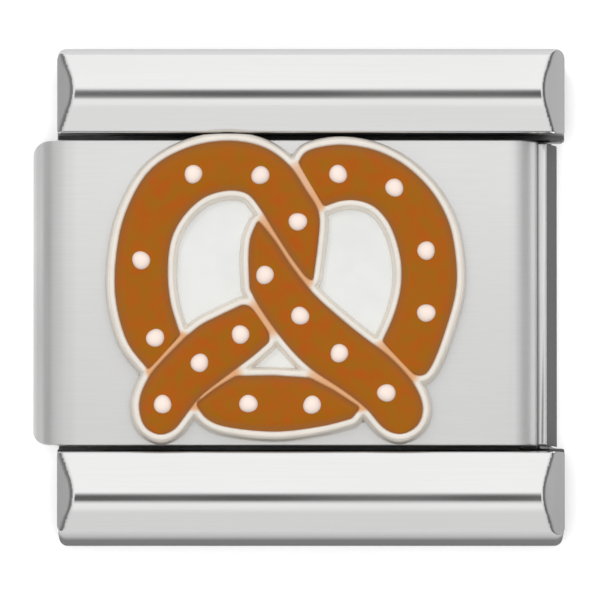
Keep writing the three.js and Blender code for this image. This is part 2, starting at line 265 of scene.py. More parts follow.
def outline_of(node):
    """The ring of points round the top of an upright node, in order and anticlockwise.

    The edges of its top face that only one of the top triangles uses form the ring. Each point's
    place in the ring is its number of steps to a fixed one, found by doubling the jumps."""
    mesh = frame["nodes"][node].data
    place = np.empty(len(mesh.vertices) * 3, np.float32)
    mesh.vertices.foreach_get("co", place)
    place = place.reshape(-1, 3) / MM
    mesh.calc_loop_triangles()
    corners = np.empty(len(mesh.loop_triangles) * 3, np.int32)
    mesh.loop_triangles.foreach_get("vertices", corners)
    keys = np.round(place, 3)
    unique, same = np.unique(keys, axis=0, return_inverse=True)
    triangles = same.reshape(-1)[corners].reshape(-1, 3)
    top = unique[:, 2] > unique[:, 2].max() - 0.002
    triangles = triangles[top[triangles].all(1)]
    edges = np.concatenate([triangles[:, [0, 1]], triangles[:, [1, 2]], triangles[:, [2, 0]]])
    code = edges[:, 0] * len(unique) + edges[:, 1]
    back = edges[:, 1] * len(unique) + edges[:, 0]
    rim = edges[~np.isin(code, back)]
    follow = np.arange(len(unique))
    follow[rim[:, 0]] = rim[:, 1]
    start = rim[0, 0]
    follow[start] = start
    hops = (np.arange(len(unique)) != start).astype(int)
    for _ in range(12):
        hops = hops + hops[follow]
        follow = follow[follow]
    ring = rim[:, 0][np.argsort(-hops[rim[:, 0]])]
    points = unique[ring, :2]
    x, y = points.T
    area = np.sum(x * np.roll(y, -1) - np.roll(x, -1) * y)
    return points if area > 0 else points[::-1]


def softened(points, count, reach):
    """The ring resampled to evenly spaced points and smoothed by a bell-shaped average."""
    ring = np.concatenate([points, points[:1]])
    length = np.concatenate([[0], np.cumsum(np.linalg.norm(np.diff(ring, axis=0), axis=1))])
    every = np.linspace(0, length[-1], count, endpoint=False)
    even = np.stack([np.interp(every, length, ring[:, k]) for k in (0, 1)], 1)
    offset = np.arange(count)
    offset = np.minimum(offset, count - offset) * length[-1] / count
    bell = np.exp(-0.5 * (offset / reach) ** 2)
    bell /= bell.sum()
    return np.fft.ifft(
        np.fft.fft(even, axis=0) * np.fft.fft(bell)[:, None], axis=0
    ).real


def outward(ring):
    """Unit normals that point out of an anticlockwise ring."""
    return -side_normals(ring, closed=True)


# ---------------------------------------------------------------- materials


def new_material(name):
    material = bpy.data.materials.new(name)
    material.use_nodes = True
    nodes = material.node_tree.nodes
    nodes.clear()
    output = nodes.new("ShaderNodeOutputMaterial")
    shader = nodes.new("ShaderNodeBsdfPrincipled")
    material.node_tree.links.new(shader.outputs[0], output.inputs[0])
    return material, shader


def wire(material, source, target):
    material.node_tree.links.new(source, target)


def shader_of(material):
    return next(n for n in material.node_tree.nodes if n.type == "BSDF_PRINCIPLED")


def grey_ramp(tree, value, stops):
    """A smooth grey curve over a value from 0 to 1; each stop is a place and a brightness."""
    ramp = tree.nodes.new("ShaderNodeValToRGB")
    ramp.color_ramp.interpolation = "EASE"
    elements = ramp.color_ramp.elements
    while len(elements) > 1:
        elements.remove(elements[-1])
    for i, (place, level) in enumerate(stops):
        element = elements[0] if i == 0 else elements.new(place)
        element.position = place
        element.color = (level, level, level, 1)
    tree.links.new(value, ramp.inputs[0])
    return ramp.outputs[0]


def place_scaled(material, scale):
    """Object coordinates stretched by scale, so that a noise becomes streaks or mottling."""
    nodes = material.node_tree.nodes
    where = nodes.new("ShaderNodeTexCoord")
    mapping = nodes.new("ShaderNodeMapping")
    mapping.inputs["Scale"].default_value = scale
    wire(material, where.outputs["Object"], mapping.inputs["Vector"])
    return mapping.outputs["Vector"]


def noise(material, vector, size, detail=2.0, roughness=0.5):
    node = material.node_tree.nodes.new("ShaderNodeTexNoise")
    node.inputs["Scale"].default_value = size
    node.inputs["Detail"].default_value = detail
    node.inputs["Roughness"].default_value = roughness
    wire(material, vector, node.inputs["Vector"])
    return node.outputs["Fac"]


def ranged(material, value, low, high, out_low, out_high):
    node = material.node_tree.nodes.new("ShaderNodeMapRange")
    for name, number in zip(
        ("From Min", "From Max", "To Min", "To Max"), (low, high, out_low, out_high)
    ):
        node.inputs[name].default_value = number
    wire(material, value, node.inputs["Value"])
    return node.outputs["Result"]


def mixed(material, factor, first, second):
    """A colour between first and second, each a colour or another node's output."""
    node = material.node_tree.nodes.new("ShaderNodeMix")
    node.data_type = "RGBA"
    wire(material, factor, node.inputs["Factor"])
    for socket, colour in ((node.inputs[6], first), (node.inputs[7], second)):
        if isinstance(colour, bpy.types.NodeSocket):
            wire(material, colour, socket)
        else:
            socket.default_value = (*colour, 1)
    return node.outputs[2]


def share_along(material, axis, start, end):
    """How far a point lies from start to end along an axis, both in millimetres."""
    nodes = material.node_tree.nodes
    where = nodes.new("ShaderNodeTexCoord")
    parts = nodes.new("ShaderNodeSeparateXYZ")
    wire(material, where.outputs["Object"], parts.inputs[0])
    return ranged(material, parts.outputs[axis], start * MM, end * MM, 0, 1)


def shade(colour, factor):
    return tuple(min(1.0, c * factor) for c in colour)


def steel(name, colour, roughness, stretch, contrast=0.05, spread=0.25, metallic=1.0):
    """Metal with fine streaks along one way, in both its colour and its roughness."""
    material, shader = new_material(name)
    vector = place_scaled(material, stretch)
    fine = noise(material, vector, 1.0, 4.0, 0.6)
    broad = noise(material, place_scaled(material, (300, 300, 300)), 1.0, 1.0)
    tone = mixed(
        material,
        ranged(material, fine, 0.3, 0.7, 0, 1),
        shade(colour, 1 - contrast),
        shade(colour, 1 + contrast),
    )
    wire(material, tone, shader.inputs["Base Color"])
    rough = ranged(
        material, broad, 0.3, 0.7, roughness * (1 - spread), roughness * (1 + spread)
    )
    wire(material, rough, shader.inputs["Roughness"])
    shader.inputs["Metallic"].default_value = metallic
    return material


# stretches of the streak noise, in cycles per metre over x, y and z
ALONG_X = (500, 30000, 30000)
ALONG_Y = (30000, 500, 30000)
SATIN = (900, 40000, 9000)
MATT = (9000, 9000, 9000)


def face_steel():
    look = bpy.context.scene.charm_looks
    return steel(
        "satin_face_steel", look.face_steel, look.face_roughness, SATIN, 0.02, 0.12,
        look.face_metallic,
    )


# painted reflections: brightness of the face by the distance from its end in millimetres, darker and
# lighter bands in its colour that stand in for the reflections at its rolled ends
PAINTED_REFLECTION_FROM_LEFT = (
    (0, 0.56), (0.08, 0.48), (0.18, 0.6), (0.26, 0.75), (0.36, 0.88), (0.48, 0.84), (0.62, 0.93),
    (0.8, 1.0),
)
PAINTED_REFLECTION_FROM_RIGHT = ((0.55, 1.0), (0.44, 0.97), (0.335, 0.92), (0.23, 0.84), (0.12, 0.6), (0.0, 0.6))


def face_steel_with_painted_bend_reflections(left, right):
    """The satin steel with painted reflections: bands in its colour, mostly darker, towards the bends at
    its left and right ends.
    """
    material = face_steel()
    material.name = "face_steel_painted_bend_reflections"
    shader = shader_of(material)
    tone = shader.inputs["Base Color"].links[0].from_socket
    width = right - left
    stops = [(inset / width, level) for inset, level in PAINTED_REFLECTION_FROM_LEFT]
    stops += [(1 - inset / width, level) for inset, level in PAINTED_REFLECTION_FROM_RIGHT]
    share = share_along(material, "X", left, right)
    # painted reflections: the ramp's bands multiply the face's colour
    bends = grey_ramp(material.node_tree, share, stops)
    node = material.node_tree.nodes.new("ShaderNodeMix")
    node.data_type, node.blend_type = "RGBA", "MULTIPLY"
    node.inputs["Factor"].default_value = 1.0
    wire(material, tone, node.inputs[6])
    wire(material, bends, node.inputs[7])
    wire(material, node.outputs[2], shader.inputs["Base Color"])
    return material


def rail_steel():
    look = bpy.context.scene.charm_looks
    return steel("polished_rail_steel", look.rail_steel, look.rail_roughness, ALONG_X, 0.012, 0.2)


def dull(material):
    """Takes the mirror-like share off a steel."""
    shader = shader_of(material)
    shader.inputs["Metallic"].default_value = 0.0
    shader.inputs["Specular IOR Level"].default_value = 0.0
    return material


def painted_shade_web_steel(top):
    """Dull steel of the rails' outer sides with painted shade, a dark colour on the sides, and painted
    light, a lighter colour, where they roll over near their top.
    """
    look = bpy.context.scene.charm_looks
    material = dull(steel("dull_web_steel", look.painted_shade_web_steel, 0.5, ALONG_X, 0.05, 0.2))
    shader = shader_of(material)
    tone = shader.inputs["Base Color"].links[0].from_socket
    # painted light: the colour turns from the dark side to the lighter shoulder over the top 1.5 mm
    share = share_along(material, "Z", top - 1.5, top - 0.2)
    wire(material, mixed(material, share, tone, look.painted_light_shoulder_steel), shader.inputs["Base Color"])
    return material


# a steel of the given tone; the sloping rail ends use it with painted shade
def facet_steel(name, tone):
    return steel(name, tone, 0.3, ALONG_Y, 0.04, 0.2)


# cut edges and parts inside the link: a dark colour, partly the dull steel of cut edges and partly painted
# shade where the parts lie in the gaps
def cut_edge_and_painted_shade_steel():
    look = bpy.context.scene.charm_looks
    return steel("dark_inner_steel", look.cut_edge_and_painted_shade_steel, 0.6, MATT, 0.1, 0.2)


# painted shade: the dark colour outside the hook's lip, where its steep side faces away
def painted_shade_lip_steel():
    look = bpy.context.scene.charm_looks
    return dull(steel("hook_lip_steel", look.painted_shade_lip_steel, 0.5, ALONG_Y, 0.05, 0.2))


def spring_steel():
    look = bpy.context.scene.charm_looks
    return steel("spring_strip_steel", look.spring_steel, 0.32, (700, 20000, 20000), 0.05, 0.2)


def hook_steel():
    look = bpy.context.scene.charm_looks
    return steel("hook_plate_steel", look.hook_steel, 0.22, (20000, 900, 20000), 0.04, 0.2)


def rim_metal():
    """Warm silver, with a painted reflection of the enamel, an orange colour, on the thin walls between
    neighbouring fields.
    """
    look = bpy.context.scene.charm_looks
    material, shader = new_material("emblem_rim_metal")
    cloud = noise(material, place_scaled(material, (1, 1, 1)), 2500, 2.0)
    silver = mixed(
        material, ranged(material, cloud, 0.3, 0.7, 0, 1), look.rim_metal, shade(look.rim_metal, 0.95)
    )
    # painted reflection: the thin walls take the orange colour of the enamel beside them
    wall = material.node_tree.nodes.new("ShaderNodeAttribute")
    wall.attribute_name = "thin_wall"
    wire(material, mixed(material, wall.outputs["Fac"], silver, look.wall), shader.inputs["Base Color"])
    rough = ranged(material, cloud, 0.3, 0.7, 0.38, 0.46)
    wire(material, rough, shader.inputs["Roughness"])
    shader.inputs["Metallic"].default_value = look.rim_metallic
    shader.inputs["Specular IOR Level"].default_value = 0.3
    return material


def brown_enamel():
    """Glossy enamel: three browns mottled by two noises, with painted shade, darker where it meets the rim.
    """
    look = bpy.context.scene.charm_looks
    material, shader = new_material("brown_enamel")
    vector = place_scaled(material, (1, 1, 1))
    blotch = ranged(material, noise(material, vector, 900, 3.0), 0.35, 0.65, 0, 1)
    speck = ranged(material, noise(material, vector, 4200, 2.0), 0.35, 0.65, 0, 1)
    warm = mixed(material, blotch, look.enamel, look.enamel_red)
    tone = mixed(material, speck, warm, look.enamel_olive)
    # painted shade: the edge_shade attribute darkens the brown beside the rim
    edge = material.node_tree.nodes.new("ShaderNodeAttribute")
    edge.attribute_name = "edge_shade"
    tone = mixed(material, edge.outputs["Fac"], tone, look.enamel_painted_rim_shade)
    wire(material, tone, shader.inputs["Base Color"])
    wire(
        material,
        ranged(material, noise(material, vector, 1500, 2.0), 0.3, 0.7, 0.2, 0.3),
        shader.inputs["Roughness"],
    )
    shader.inputs["Specular IOR Level"].default_value = look.enamel_gloss
    return material


def white_enamel(name, colour):
    look = bpy.context.scene.charm_looks
    material, shader = new_material(name)
    cloud = noise(material, place_scaled(material, (1, 1, 1)), 1800, 2.0)
    tone = mixed(material, ranged(material, cloud, 0.3, 0.7, 0, 1), colour, shade(colour, 0.95))
    wire(material, tone, shader.inputs["Base Color"])
    shader.inputs["Roughness"].default_value = 0.3
    shader.inputs["Specular IOR Level"].default_value = look.enamel_gloss
    return material


def pale_floor():
    look = bpy.context.scene.charm_stage
    material, shader = new_material("pale_floor")
    grain = noise(material, place_scaled(material, (1, 1, 1)), 60, 2.0)
    tone = mixed(
        material, ranged(material, grain, 0.3, 0.7, 0, 1), look.floor, shade(look.floor, 0.99)
    )
    wire(material, tone, shader.inputs["Base Color"])
    shader.inputs["Roughness"].default_value = 0.9
    shader.inputs["Specular IOR Level"].default_value = 0.0
    shader.inputs["Emission Color"].default_value = (1, 1, 1, 1)
    shader.inputs["Emission Strength"].default_value = look.floor_glow
    return material


# ---------------------------------------------------------------- settings


def size_mm(name, description, default):
    return FloatProperty(name=name, description=description, default=default, min=0.0, precision=3)


def colour(name, description, default):
    return FloatVectorProperty(
        name=name, description=description, default=default, subtype="COLOR", min=0, max=1
    )


class CharmSizes(bpy.types.PropertyGroup):
    """Sizes in millimetres that the looks add to the frame's own boxes."""

    sheet: size_mm("Sheet", "Thickness of the bent sheet, in millimetres", 0.3)
    roll: size_mm("Roll", "Middle radius of the rolled front edges, in millimetres", 0.45)
    roll_right: size_mm("Hook-side roll", "The same at the hook side, in millimetres", 0.35)
    edge: size_mm("Edge", "Rounding of sheet edges, in millimetres", 0.035)
    plan_corner: size_mm("Face corner", "Rounding of the face's corners, in millimetres", 0.22)
    ridge_round: size_mm("Ridge", "Radius of the soft ridge on the rails, in millimetres", 0.9)
    rail_corner: size_mm("Rail corner", "Rounding of the rails' outer corners, in millimetres", 0.16)
    rim: size_mm("Rim", "Width of the metal rim round the enamel, in millimetres", 0.14)
    foot: size_mm("Foot", "Spread of the emblem plate at its foot, in millimetres", 0.18)
    dome: size_mm("Dome", "Rise of the enamel in its middle, in millimetres", 0.02)
    sag: size_mm("Sag", "Fall of the enamel at the rim, in millimetres", 0.015)
    waves: IntProperty(name="Waves", description="Waves of each wave spring", default=4, min=1)


class CharmLooks(bpy.types.PropertyGroup):
    """Colours and finishes of the link."""

    face_steel: colour("Face", "Satin steel of the sleeves", (0.925, 0.925, 0.92))
    face_roughness: FloatProperty(
        name="Face roughness", description="Roughness of the face", default=0.45, min=0, max=1
    )
    face_metallic: FloatProperty(
        name="Face metallic", description="Share of mirror-like light off the satin face", default=0.9,
        min=0, max=1,
    )
    rail_steel: colour("Rails", "Polished steel of the rails", (0.93, 0.93, 0.925))
    # painted light: the lighter colour where the rails roll over near their top
    painted_light_shoulder_steel: colour("Rail shoulders", "Steel where the rails roll over", (0.57, 0.57, 0.57))
    # painted shade: the dark colour of the rails' outer sides
    painted_shade_web_steel: colour("Rail webs", "Duller steel of the rails' outer sides", (0.24, 0.24, 0.24))
    # painted shade: darker colours of the sloping rail ends, the right end darker than the left
    facet_left_painted_shade: colour("Left rail ends", "Darker steel of the left sloping ends", (0.42, 0.42, 0.42))
    facet_right_painted_shade: colour("Right rail ends", "Darker steel of the right sloping ends", (0.34, 0.34, 0.34))
    # painted shade outside the hook's lip
    painted_shade_lip_steel: colour("Hook lip", "Dull steel outside the hook's lip", (0.17, 0.17, 0.17))
    # partly dull cut steel, partly painted shade of the gaps and hollows
    cut_edge_and_painted_shade_steel: colour("Inside", "Dark steel of cut edges and inner parts", (0.2, 0.2, 0.2))
    rail_roughness: FloatProperty(
        name="Rail roughness", description="Roughness of the rails", default=0.15, min=0, max=1
    )
    hook_steel: colour("Hook", "Steel of the hook plate", (0.8, 0.8, 0.8))
    spring_steel: colour("Springs", "Steel of the springs", (0.68, 0.69, 0.7))
    rim_metal: colour("Rim", "Warm silver of the emblem plate", (0.9, 0.84, 0.76))
    rim_metallic: FloatProperty(
        name="Rim metallic", description="Share of mirror-like light off the rim", default=0.5, min=0, max=1
    )
    # painted reflection of the enamel on the thin walls
    wall: colour("Thin walls", "Rim between neighbouring fields", (0.8, 0.42, 0.2))
    enamel: colour("Enamel", "Main brown of the enamel", (0.328, 0.087, 0.0018))
    enamel_red: colour("Enamel, red", "Redder brown patches", (0.355, 0.074, 0.003))
    enamel_olive: colour("Enamel, olive", "Yellower brown patches", (0.285, 0.098, 0.002))
    # painted shade of the rim on the enamel beside it
    enamel_painted_rim_shade: colour("Enamel edge", "Brown beside the rim", (0.24, 0.09, 0.02))
    enamel_gloss: FloatProperty(
        name="Enamel gloss", description="Shine of the enamels", default=0.15, min=0, max=1
    )
    salt: colour("Salt", "White enamel of the salt grains", (0.84, 0.71, 0.64))
    ground: colour("Ground", "White enamel in the openings", (0.665, 0.67, 0.66))


class CharmStage(bpy.types.PropertyGroup):
    """Camera, floor and light."""

    tilt: FloatProperty(
        name="Tilt",
        description="How far the camera leans from straight above towards the lower rail",
        default=math.radians(3.5),
        subtype="ANGLE",
    )
    hood_lean: FloatProperty(
        name="Hood lean",
        description="How far the dark hood of the studio leans towards the lower rail",
        default=math.radians(6.6),
        subtype="ANGLE",
    )
    distance: FloatProperty(
        name="Distance",
        description="From the face to the camera",
        default=0.4,
        unit="LENGTH",
        subtype="DISTANCE",
    )
    view_width: FloatProperty(
        name="View width",
        description="Width of the view at the face",
        default=0.01057,
        unit="LENGTH",
        subtype="DISTANCE",
        precision=5,
    )
    aim_x: size_mm("Aim x", "Sideways aim of the camera from the middle, in millimetres", 0.018)
    aim_y: FloatProperty(
        name="Aim y", description="Aim of the camera in y, in millimetres", default=-0.132
    )
    floor: colour("Floor", "Colour of the floor", (0.94, 0.94, 0.94))
    floor_glow: FloatProperty(
        name="Floor glow", description="Light of the floor's own, as on a light table", default=0.2, min=0
    )
    dome_light: FloatProperty(
        name="Dome light", description="Strength of the studio dome", default=1.0, min=0
    )
    fill: FloatProperty(
        name="Fill", description="Power of the light beside the camera", default=0.34, min=0
    )
    key: FloatProperty(
        name="Key", description="Power of the soft light from the upper left", default=0.08, min=0
    )


# ---------------------------------------------------------------- operators

FOLD = 0.25  # middle radius of the sheet's hidden folds, in millimetres


class CHARM_OT_face_sleeve(bpy.types.Operator):
    """Bends the face sleeve: catch wall, rolled face, hook-side wall and lower wall"""

    bl_idname = "charm.face_sleeve"
    bl_label = "Face Sleeve"

    fold_end, proud = -3.6, 0.015

    def execute(self, context):
        size = context.scene.charm_sizes
        low, high = box_mm("face_sleeve")
        middle = size.sheet / 2
        left, right = low[0] + middle, high[0] - middle
        top, bottom = high[2] - middle, low[2] + middle
        corners = [
            (left, low[2]), (left, top), (right, top), (right, bottom), (self.fold_end, bottom),
        ]
        radii = (0, size.roll, size.roll_right, FOLD, 0)
        path = spaced(filleted(corners, radii, steps=24), 0.1)
        # the sheet's corners are rounded in plan where it turns down at the catch wall
        corner = size.plan_corner
        past = np.clip((low[0] + middle + corner - path[:, 0]) / corner, 0, 1)
        half = high[1] + self.proud - corner * (1 - np.sqrt(1 - past**2))
        made = strip_along(path, half, size.sheet, size.edge)
        item = piece("face_sleeve_sheet", *made, face_steel_with_painted_bend_reflections(low[0], high[0]), ["face_sleeve"])
        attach(item, BODY["face_sleeve"])
        return {"FINISHED"}


class CHARM_OT_back_sleeve(bpy.types.Operator):
    """Bends the back sleeve: a flat tube of the same sheet"""

    bl_idname = "charm.back_sleeve"
    bl_label = "Back Sleeve"

    painted_shade_top = 0.35

    def execute(self, context):
        size = context.scene.charm_sizes
        low, high = box_mm("back_sleeve")
        inset = size.sheet / 2
        a, b = low[[0, 2]] + inset, high[[0, 2]] - inset
        corners = [(0, a[1]), (b[0], a[1]), (b[0], b[1]), (a[0], b[1]), (a[0], a[1])]
        path = filleted(corners, (0, FOLD, FOLD, FOLD, FOLD), closed=True)
        path = spaced(path, 0.12, closed=True)
        made = strip_along(path, high[1], size.sheet, size.edge, closed=True)
        item = piece("back_sleeve_tube", *made, face_steel(), ["back_sleeve"])
        # painted shade: the back sleeve's top, under the face sleeve, gets the dark steel
        second_look(
            item, cut_edge_and_painted_shade_steel(),
            lambda x, y, z, n: (z > high[2] - self.painted_shade_top) & (n[:, 2] > 0.9),
        )
        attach(item, BODY["back_sleeve"])
        return {"FINISHED"}


class CHARM_OT_side_rails(bpy.types.Operator):
    """Forms both side rails: ridged channels with sloping ends, tongues and spring stops"""

    bl_idname = "charm.side_rails"
    bl_label = "Side Rails"

    # heights and distances from the middle of the channel's profile
    ridge_y, ridge_z, inner_z, shoulder_z = 3.585, 3.955, 3.68, 3.67
    ceiling, floor_z, web, ledge_y, ledge_z = 2.5, 0.6, 0.45, 2.71, 2.8
    # the sloping ends: their lowest heights, their lengths and the softness of their edge
    inner_y, end_left, end_right, hip_left, hip_right = 2.81, 3.62, 3.43, 0.27, 0.38
    hip_blend, end_round = 0.05, 0.04
    sheet = 0.3
    tongue_start, tongue_end, tongue_y = -3.5, 3.7, 1.6
    sill_start, sill_end, sill_y = -4.24, 3.9, (2.6, 2.9)

    def channel(self, outer, ridge_round):
        """The closed profile of a rail in y and z, with rounded corners."""
        corners = [
            (self.inner_y, 0), (outer, 0), (outer, self.shoulder_z), (self.ridge_y, self.ridge_z),
            (self.inner_y, self.inner_z), (self.inner_y, self.ledge_z),
            (self.ledge_y, self.ledge_z), (self.ledge_y, self.ceiling),
            (outer - self.web, self.ceiling), (outer - self.web, self.floor_z),
            (self.inner_y, self.floor_z),
        ]
        radii = (0.05, 0.2, 0.2, ridge_round, 0.03, 0.03, 0.03, 0.03, 0.12, 0.12, 0.05)
        return spaced(filleted(corners, radii, closed=True, steps=16), 0.08, closed=True)

    def stations(self, left, right):
        """Places along x, closer together at the ends, and how far the profile shrinks there."""
        turn = np.radians(np.array([80, 60, 40, 20, 0]))
        ends = self.end_round * (1 - np.sin(turn))
        slope = np.linspace(self.end_round, 0.6, 36)[1:]
        middle = np.linspace(left + 0.7, right - 0.7, 40)
        x = np.concatenate(
            [left + ends, left + slope, middle, right - slope[::-1], right - ends[::-1]]
        )
        shrink = np.zeros(len(x))
        shrink[: len(turn)] = self.end_round * (1 - np.cos(turn))
        shrink[-len(turn) :] = shrink[: len(turn)][::-1]
        return x, shrink

    def rail(self, node, side, ridge_round, corner):
        """The profile carried along x. Above the channel its height is the smooth minimum of the
        profile's own height and of the slopes at both ends; at the ends it also shrinks inwards as
        a quarter circle, which rounds the end edges."""
        low, high = box_mm(node)
        left, right = low[0], high[0]
        outer = max(abs(low[1]), abs(high[1]))
        ring = self.channel(outer, ridge_round)
        crown = ring[:, 1].max()
        inward = side_normals(ring, closed=True)
        x, shrink = self.stations(left, right)
        y = ring[:, 0] + inward[:, 0] * shrink[:, None]
        z = ring[:, 1] + inward[:, 1] * shrink[:, None]
        rise_left = (crown - self.end_left) / self.hip_left
        rise_right = (crown - self.end_right) / self.hip_right
        roof = np.minimum(
            self.end_left + (x - left) * rise_left, self.end_right + (right - x) * rise_right
        )[:, None]
        blend = self.hip_blend
        share = np.clip(0.5 + 0.5 * (roof - z) / blend, 0, 1)
        cut = roof * (1 - share) + z * share - blend * share * (1 - share)
        z = np.where(z > self.ledge_z, cut, z)
        # in plan the outer corners are rounded by drawing the web in near both ends
        past = np.clip((corner - np.minimum(x - left, right - x)) / corner, 0, 1)[:, None]
        pivot = outer - self.web
        draw = 1 - corner * (1 - np.sqrt(1 - past**2)) / self.web
        y = np.where(y > pivot, pivot + (y - pivot) * draw, y)
        made = shell(np.stack([np.broadcast_to(x[:, None], y.shape), y, z], -1))
        tongues = [
            slab(
                (self.tongue_start, self.tongue_y, bottom),
                (self.tongue_end, self.inner_y + 0.1, bottom + self.sheet),
            )
            for bottom in (0.3, self.ceiling)
        ]
        stop = slab((4.2, 2.95, 0.55), (4.5, outer - 0.4, 2.55))
        sill = slab(
            (self.sill_start, self.sill_y[0], self.ceiling),
            (self.sill_end, self.sill_y[1], self.ledge_z - 0.01),
        )
        vertices, faces = joined([made, *tongues, stop, sill])
        return vertices * np.array([1, side, 1]), faces

    def execute(self, context):
        """Tests on height and on the normals find the sloping ends, the webs and the inside."""
        size = context.scene.charm_sizes
        look = context.scene.charm_looks
        metal, web, dark = rail_steel(), painted_shade_web_steel(self.shoulder_z), cut_edge_and_painted_shade_steel()
        left_facet = facet_steel("left_facet_painted_shade_steel", look.facet_left_painted_shade)
        right_facet = facet_steel("right_facet_painted_shade_steel", look.facet_right_painted_shade)
        steep, roof_z, web_y = 0.4, 3.2, 3.9
        behind_y, hollow_y, skin = 2.95, 3.86, 0.02
        for node, side in (("upper_rail", 1), ("lower_rail", -1)):
            made = self.rail(node, side, size.ridge_round, size.rail_corner)
            item = piece(node + "_channel", *made, metal, [node], sharp=50)
            # the sloping ends get their steels with painted shade
            for material, way in ((left_facet, -1), (right_facet, 1)):
                second_look(
                    item, material,
                    lambda x, y, z, n: (n[:, 0] * way > steep) & (n[:, 2] > 0.1) & (z > roof_z),
                )
            # the webs get the steel with painted shade and painted light
            second_look(
                item, web,
                lambda x, y, z, n: (y > web_y)
                & ((np.abs(n[:, 1]) > 0.42) | ((np.abs(n[:, 0]) > 0.3) & (z < roof_z))),
            )
            # painted shade and dull cut edges: the tongues, the inner edges and the inside of the channel
            # get the dark steel
            second_look(
                item, dark,
                lambda x, y, z, n: (z > self.floor_z + skin) & (
                    ((y < behind_y) & (z < 3.5) & ((n[:, 2] < 0.5) | (z < 3)))
                    | ((y < hollow_y) & (z < self.ceiling + skin))
                ),
            )
            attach(item, BODY[node])
        return {"FINISHED"}


class CHARM_OT_hook_plate(bpy.types.Operator):
    """Bends the hook plate and adds the arms and tabs at its other end"""

    bl_idname = "charm.hook_plate"
    bl_label = "Hook Plate"

    thickness, plate_z, arm, half = 0.28, 1.6, 0.5, 2.68
    # the lip: height where its taper starts, tip, lean towards the face and swell at its outside
    taper_z, tip, lean, swell = 2.35, 0.12, 0.045, 0.03
    arm_y, tab_y = 2.5, 2.95

    def execute(self, context):
        low, high = box_mm("hook_plate")
        thickness, plate_z, arm = self.thickness, self.plate_z, self.arm
        level = plate_z + thickness / 2
        right = high[0] - thickness / 2
        corners = [(low[0], level), (right, level), (right, high[2])]
        path = spaced(filleted(corners, (0, 0.31, 0), steps=20), 0.1)
        vertices, faces = strip_along(path, self.half, thickness, 0.04)
        # the upright lip thins on its outside from the taper's start to the tip
        inner = high[0] - thickness
        share = np.clip((vertices[:, 2] - self.taper_z) / (high[2] - self.taper_z), 0, 1)
        near = np.clip((vertices[:, 0] - inner) / thickness, 0, 1)
        vertices[:, 0] += near * (self.swell - share * (thickness + self.swell - self.tip))
        vertices[:, 0] -= (1 - near) * (vertices[:, 0] > inner - 0.01) * share * self.lean
        parts = [(vertices, faces)]
        for side in (1, -1):
            for start_y, bottom, top in (
                (self.arm_y, plate_z, plate_z + thickness), (self.tab_y, low[2], self.taper_z),
            ):
                span = sorted((side * start_y, side * high[1]))
                parts.append(slab((low[0], span[0], bottom), (low[0] + arm, span[1], top)))
        item = piece("hook_plate_strip", *joined(parts), hook_steel(), ["hook_plate"])
        # painted shade: the arms and tabs, seen through the gaps, get the dark steel
        second_look(item, cut_edge_and_painted_shade_steel(), lambda x, y, z, n: (x < 4) & (y > self.arm_y))
        # painted shade on the outside of the lip
        second_look(item, painted_shade_lip_steel(), lambda x, y, z, n: (x > inner) & (n[:, 0] > 0.8))
        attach(item, BODY["hook_plate"])
        return {"FINISHED"}


class CHARM_OT_springs(bpy.types.Operator):
    """Forms the bowed leaf springs and the wave springs that pull the hook back"""

    bl_idname = "charm.springs"
    bl_label = "Springs"

    def execute(self, context):
        metal = spring_steel()
        leaf, strip = 0.12, 0.15
        waves = context.scene.charm_sizes.waves
        turned = np.array([[0, 1, 0], [1, 0, 0], [0, 0, 1]])
        for node in ("face_leaf_spring", "back_leaf_spring"):
            # height follows one wave of a cosine across the sleeve
            low, high = box_mm(node)
            t = np.linspace(-1, 1, 60)
            rise = high[2] - low[2] - leaf
            line = np.stack([high[1] * t, low[2] + leaf / 2 + rise * 0.5 * (1 + np.cos(np.pi * t))], 1)
            middle, half = (low[0] + high[0]) / 2, (high[0] - low[0]) / 2
            vertices, faces = strip_along(line, half, leaf, 0.03)
            vertices = vertices @ turned + np.array([middle, 0, 0])
            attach(piece(node + "_strip", vertices, faces, metal, [node]), BODY[node])
        for node in ("upper_wave_spring", "lower_wave_spring"):
            # height follows a cosine along x, a whole number of waves from tab to stop
            low, high = box_mm(node)
            t = np.linspace(0, 1, 60 * waves)
            wave = np.cos(2 * np.pi * waves * t)
            centre, rise = (low[2] + high[2]) / 2, (high[2] - low[2] - strip) / 2
            line = np.stack([low[0] + (high[0] - low[0]) * t, centre + rise * wave], 1)
            made = strip_along(line, (high[1] - low[1]) / 2, strip, 0.03, steps=2)
            made = shifted(made, (low[1] + high[1]) / 2)
            item = piece(node + "_strip", *made, metal, [node])
            middle = ((low[1] + high[1]) / 2 * MM, centre * MM)
            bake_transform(item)
        return {"FINISHED"}


FIELDS = (
    "enamel_left_loop", "enamel_right_loop", "enamel_right_arm", "enamel_left_arm",
    "enamel_bottom_bow",
)


def distances(points, ring):
    """Distance of each point to a closed ring, below zero inside it, and the nearest ring point.

    The nearest place on each side of the ring comes from projecting the point on it, and a point
    is inside when a line from it towards +x crosses an odd number of sides."""
    start, end = ring, np.roll(ring, -1, 0)
    side = end - start
    share = ((points[:, None] - start) * side).sum(-1) / (side * side).sum(-1)
    place = start + np.clip(share, 0, 1)[..., None] * side
    gap = np.linalg.norm(points[:, None] - place, axis=-1)
    best = gap.argmin(1)
    rows = np.arange(len(points))
    above = start[:, 1] > points[:, 1:]
    crossed = above != (end[:, 1] > points[:, 1:])
    rise = np.where(side[:, 1] == 0, 1, side[:, 1])
    meets = start[:, 0] + (points[:, 1:] - start[:, 1]) * side[:, 0] / rise
    inside = (crossed & (meets > points[:, :1])).sum(1) % 2 == 1
    return np.where(inside, -gap[rows, best], gap[rows, best]), place[rows, best]


def eased(value, low, high):
    """0 below low, 1 above high, and the cubic 3t^2 - 2t^3 between them."""
    t = np.clip((value - low) / (high - low), 0, 1)
    return t * t * (3 - 2 * t)


